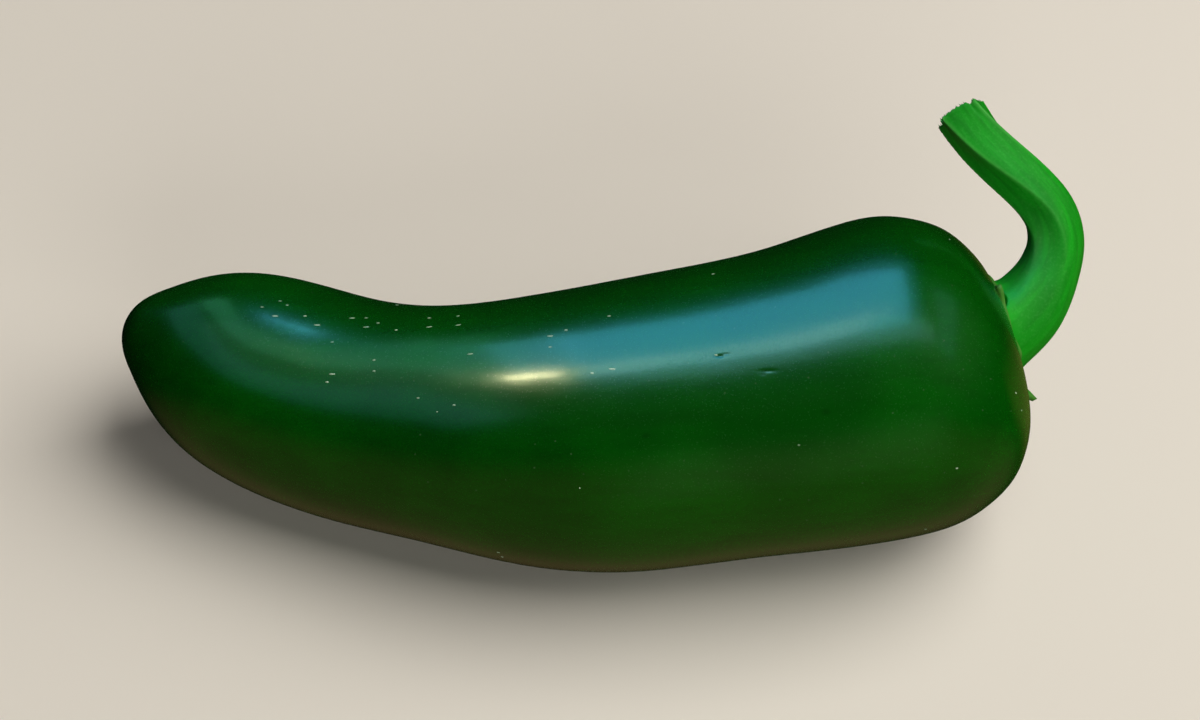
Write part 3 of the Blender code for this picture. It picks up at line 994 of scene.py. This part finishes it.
def stalk_mesh(seat, name):
    """The stalk and calyx as one closed mesh, with its fibre direction and places of colour named on it."""
    path, angles, rings = stalk_rings(seat)
    mesh = bmesh.new()
    fibre = mesh.verts.layers.float_vector.new("fibre")
    layers = {key: mesh.verts.layers.float.new(key) for key in ("ridge", "foot", "snapped")}
    loops = []
    for ring in rings:
        loop = []
        for angle, (point, along, foot, snapped) in zip(angles, ring):
            vertex = mesh.verts.new(point * MM)
            round_it = FIBRES_ROUND * np.array([math.cos(angle), math.sin(angle)])
            vertex[fibre] = (*round_it, along * FIBRES_ALONG)
            share = min(along / path.length, 1.0)
            # The ridge value carries a painted highlight: the material paints the rib cords paler by it
            vertex[layers["ridge"]] = ribs_at(angle, share)[1] * share
            vertex[layers["foot"]] = foot
            vertex[layers["snapped"]] = snapped
            loop.append(vertex)
        loops.append(loop)
    for ring, following in zip(loops, loops[1:]):
        for k, vertex in enumerate(ring):
            j = (k + 1) % len(ring)
            mesh.faces.new((vertex, ring[j], following[j], following[k]))
    poles = (seat.point(CALYX_MIDDLE, CALYX_SINK), path.frame(path.length - SNAP_RINGS[-1][1])[0])
    for pole, ring in zip(poles, (loops[0], loops[-1])):
        tip = mesh.verts.new(pole * MM)
        for key in layers.values():
            tip[key] = ring[0][key]
        for k, vertex in enumerate(ring):
            mesh.faces.new((tip, vertex, ring[(k + 1) % len(ring)]))
    bmesh.ops.recalc_face_normals(mesh, faces=mesh.faces)
    data = bpy.data.meshes.new(name)
    mesh.to_mesh(data)
    mesh.free()
    rim = [point for point, _, _, _ in rings[-len(SNAP_RINGS) + 2]]
    return data, rim, path


def fibre_tree():
    """The tree that raises fine fibres along the stalk, by noise drawn out along it."""
    tree, given = new_tree(
        "Raise fibres", Geometry=("Geometry",), Float=("Depth", "Scale"), Material=("Stalk",)
    )
    node = partial(add_node, tree)
    fibre = node("GeometryNodeInputNamedAttribute", {"Name": "fibre"}, data_type="FLOAT_VECTOR")
    noise = node("ShaderNodeTexNoise", {"Vector": fibre, "Scale": given["Scale"], "Detail": 1.5})
    centred = node("ShaderNodeMath", [noise, 0.5], operation="SUBTRACT")
    height = node("ShaderNodeMath", [centred, given["Depth"]], operation="MULTIPLY")
    outward = node("GeometryNodeInputNormal")
    raised = node("ShaderNodeVectorMath", {0: outward, "Scale": height}, operation="SCALE")
    moved = node("GeometryNodeSetPosition", {"Geometry": given["Geometry"], "Offset": raised})
    end_tree(tree, moved, given["Stalk"])
    return tree


def torn_tree():
    """The tree that stands short torn fibres round the rim of the snapped end."""
    tree, given = new_tree(
        "Stand torn fibres",
        Object=("Rim",),
        Int=("Count", "Seed"),
        Float=("Length", "Radius"),
        Vector=("Along",),
        Material=("Stalk",),
    )
    node = partial(add_node, tree)
    rim = node("GeometryNodeObjectInfo", {"Object": given["Rim"]}).outputs["Geometry"]
    points = node("GeometryNodeCurveToPoints", {"Curve": rim, "Count": given["Count"]}, mode="COUNT")
    spread, uneven = (
        node(
            "FunctionNodeRandomValue",
            {"Min": low, "Max": high, "Seed": given["Seed"]},
            data_type="FLOAT_VECTOR",
        )
        for low, high in (TORN_LEANS, TORN_SIZES)
    )
    leaning = node("ShaderNodeVectorMath", [given["Along"], spread], operation="ADD")
    turned = node("FunctionNodeAlignRotationToVector", {"Vector": leaning}, axis="Z")
    sides = {"Vertices": 7, "Side Segments": 3, "Radius Top": 0.0}
    spike = node("GeometryNodeMeshCone", {**sides, "Radius Bottom": given["Radius"], "Depth": given["Length"]})
    fibres = node(
        "GeometryNodeInstanceOnPoints",
        {"Points": points, "Instance": spike, "Rotation": turned, "Scale": uneven},
    )
    end_tree(tree, fibres, given["Stalk"])
    return tree


class CHILLI_OT_add_stalk(bpy.types.Operator):
    """Build the calyx and the ribbed stalk on the fruit, with its snapped end"""

    bl_idname = "chilli.add_stalk"
    bl_label = "Add stalk and calyx"

    def execute(self, context):
        settings = context.scene.chilli_stalk
        fruit = bpy.data.objects.get("chilli_fruit")
        if fruit is None:
            raise RuntimeError("add the fruit first")
        data, rim, path = stalk_mesh(Seat(fruit), "chilli_stalk_and_calyx")
        green = stalk_skin(settings)
        values = {"Depth": settings.fibre_depth, "Scale": settings.fibre_scale, "Stalk": green}
        made = grow("chilli_stalk_and_calyx", fibre_tree(), values, data)
        finish_piece(made, "green_stalk", "stalk_and_calyx")
        rim_guide = guide_curve("rim_guide", rim)
        values = {
            "Rim": rim_guide,
            "Count": settings.torn_count,
            "Length": settings.torn_length,
            "Radius": settings.torn_radius,
            "Along": tuple(path.frame(path.length)[1]),
            "Seed": settings.seed,
            "Stalk": green,
        }
        torn = grow("snapped_fibres", torn_tree(), values)
        remove(rim_guide)
        finish_piece(torn, "green_stalk")
        return {"FINISHED"}


# Lights: (name, degrees up from the front, degrees to the right, distance, width, depth, colour, watts)
SHINE_PANELS = (
    ("cool_window", 109, -4, 0.8, 0.36, 0.55, "#58d1ff", 3.4),
    ("window_glow", 109, -1, 0.8, 0.5, 0.8, "#58d1ff", 0.9),
    ("tall_pane", 122, -31, 0.8, 0.17, 0.75, "#70ffc8", 0.55),
    ("near_pane", 109, -23.5, 0.091, 0.026, 0.05, "#6ae4ff", 0.0145),
    ("grey_strip", 95, -10, 0.8, 0.28, 0.12, "#d6ffbc", 0.4),
    ("dim_strip", 87, 9, 0.8, 0.46, 0.17, "#aaffee", 0.36),
    ("left_panel", 90, -40, 0.8, 0.28, 0.75, "#9cffec", 0.27),
    ("far_left_panel", 105, -53, 0.8, 0.26, 1.2, "#7fffff", 0.5),
    ("right_panel", 100, 36, 0.8, 0.2, 0.58, "#94fff3", 0.2),
    ("warm_lamp", 88, -26.5, 0.084, 0.018, 0.005, "#f0e8b0", 0.022),
)
SOFT_LIGHTS = (
    ("overhead_softbox", 90, 36, 1.1, 1.2, 1.2, "#fff8ee", 14.8),
    ("front_fill", 10, 16, 1.4, 0.9, 1.0, "#fffaf2", 12.6),
)
# World: a dim room over a brown ground, and an olive one on the right, as (share of the way from straight down
# to straight up, colour), and how much higher the ground reaches in front of the pepper than behind it
ROOM = ((0.0, "#70563f"), (0.1, "#70563f"), (0.33, "#0a0f0a"))
ROOM_ON_RIGHT = ((0.36, "#2a3010"), (0.44, "#6e7432"), (0.54, "#6e7432"), (0.66, "#10180a"))
ROOM_TILT = 0.9
# How strongly the room lights the colour of things, next to its full strength in their gloss
ROOM_ON_COLOUR = 0.2


def room_colours(tree, height, stops):
    """The colours of the room at this share of the way up, by these stops."""
    ramp = add_node(tree, "ShaderNodeValToRGB", {"Fac": height})
    for place, _ in stops[2:]:
        ramp.color_ramp.elements.new(place)
    for (place, colour), stop in zip(stops, ramp.color_ramp.elements):
        stop.position = place
        stop.color = srgb(colour)
    return ramp.outputs["Color"]


def hang_light(spec, shines):
    """Hangs one light over the pepper: a shine panel shows only in gloss, and a soft light only in colour."""
    name, elevation, lean, distance, width, depth, colour, power = spec
    data = bpy.data.lights.new(name, "AREA")
    data.shape = "RECTANGLE"
    data.size = width
    data.size_y = depth
    data.color = srgb(colour)[:3]
    data.energy = power
    made = bpy.data.objects.new(name, data)
    bpy.context.scene.collection.objects.link(made)
    up, sideways = math.radians(elevation), math.radians(lean)
    level = math.cos(sideways)
    outward = Vector((math.sin(sideways), -math.cos(up) * level, math.sin(up) * level))
    across = (Vector((1, 0, 0)) - outward * outward.x).normalized()
    turn = Matrix((across, outward.cross(across), outward)).transposed().to_4x4()
    made.matrix_world = Matrix.Translation(Vector(LOOKS_AT) * MM + outward * distance) @ turn
    made.visible_camera = False
    made.visible_diffuse = not shines
    made.visible_glossy = shines


def studio_room():
    """The dim room that the pepper's gloss shows, darker where it only lights colours."""
    world = bpy.data.worlds.new("dim_studio")
    world.use_nodes = True
    tree = world.node_tree
    node = partial(add_node, tree)
    direction = node("ShaderNodeTexCoord").outputs["Generated"]
    height = node("ShaderNodeVectorMath", [direction, (0.0, ROOM_TILT, 1.0)], operation="DOT_PRODUCT")
    share = node("ShaderNodeMapRange", {"Value": height.outputs["Value"], "From Min": -1.0, "From Max": 1.0})
    parts = node("ShaderNodeSeparateXYZ", [direction]).outputs
    right = node("ShaderNodeMath", [parts["X"], 0.0], operation="MAXIMUM")
    right_and_back = node("ShaderNodeMath", [right, parts["Y"]], operation="MULTIPLY")
    on_right = node(
        "ShaderNodeMapRange",
        {"Value": right_and_back, "From Min": 0.08, "From Max": 0.3},
        interpolation_type="SMOOTHSTEP",
    )
    sides = {"A": room_colours(tree, share, ROOM), "B": room_colours(tree, share, ROOM_ON_RIGHT)}
    room = node("ShaderNodeMix", {"Factor": on_right, **sides}, data_type="RGBA")
    in_gloss = node("ShaderNodeLightPath").outputs["Is Glossy Ray"]
    strength = node("ShaderNodeMapRange", {"Value": in_gloss, "To Min": ROOM_ON_COLOUR})
    fill(tree, tree.nodes["Background"], {"Color": room, "Strength": strength})
    return world


class CHILLI_OT_add_stage(bpy.types.Operator):
    """Add the plain floor, the soft lights and the camera"""

    bl_idname = "chilli.add_stage"
    bl_label = "Add stage"

    def execute(self, context):
        scene = context.scene
        stage = scene.chilli_stage
        mesh = bmesh.new()
        bmesh.ops.create_grid(mesh, x_segments=8, y_segments=8, size=stage.floor_size / 2)
        data = bpy.data.meshes.new("pale_floor")
        mesh.to_mesh(data)
        mesh.free()
        data.materials.append(floor_paint(stage))
        floor = bpy.data.objects.new("pale_floor", data)
        scene.collection.objects.link(floor)
        floor.visible_glossy = False
        floor.visible_diffuse = False

        for spec in SHINE_PANELS:
            hang_light(spec, shines=True)
        for spec in SOFT_LIGHTS:
            hang_light(spec, shines=False)
        scene.world = studio_room()

        camera = bpy.data.cameras.new("photo_camera")
        camera.sensor_width = SENSOR
        camera.lens = stage.lens
        camera.clip_start = 0.01
        made = bpy.data.objects.new("photo_camera", camera)
        made.location = eye_place(stage)[0]
        made.rotation_euler = (math.pi / 2 - stage.camera_elevation, 0.0, 0.0)
        scene.collection.objects.link(made)
        scene.camera = made
        scene.view_settings.view_transform = "Standard"
        return {"FINISHED"}


class CHILLI_PT_panel(bpy.types.Panel):
    """The steps that build the pepper, with the sizes and colours of each"""

    bl_idname = "CHILLI_PT_panel"
    bl_label = "Green chilli pepper"
    bl_space_type = "VIEW_3D"
    bl_region_type = "UI"
    bl_category = "Chilli"

    def draw(self, context):
        scene = context.scene
        for settings, operators in (
            (scene.chilli_fruit, (CHILLI_OT_add_fruit, CHILLI_OT_add_flecks)),
            (scene.chilli_stalk, (CHILLI_OT_add_stalk,)),
            (scene.chilli_stage, (CHILLI_OT_add_stage,)),
        ):
            box = self.layout.box()
            for operator in operators:
                box.operator(operator.bl_idname)
            for name in settings.__annotations__:
                box.prop(settings, name)


CLASSES = (
    ChilliFruitSettings,
    ChilliStalkSettings,
    ChilliStageSettings,
    CHILLI_OT_add_fruit,
    CHILLI_OT_add_flecks,
    CHILLI_OT_add_stalk,
    CHILLI_OT_add_stage,
    CHILLI_PT_panel,
)


def register():
    for made in CLASSES:
        bpy.utils.register_class(made)
    bpy.types.Scene.chilli_fruit = bpy.props.PointerProperty(type=ChilliFruitSettings)
    bpy.types.Scene.chilli_stalk = bpy.props.PointerProperty(type=ChilliStalkSettings)
    bpy.types.Scene.chilli_stage = bpy.props.PointerProperty(type=ChilliStageSettings)


def unregister():
    del bpy.types.Scene.chilli_fruit
    del bpy.types.Scene.chilli_stalk
    del bpy.types.Scene.chilli_stage
    for made in reversed(CLASSES):
        bpy.utils.unregister_class(made)


def main():
    register()
    bpy.ops.chilli.add_fruit()
    bpy.ops.chilli.add_flecks()
    bpy.ops.chilli.add_stalk()
    bpy.ops.chilli.add_stage()


if __name__ == "__main__":
    main()
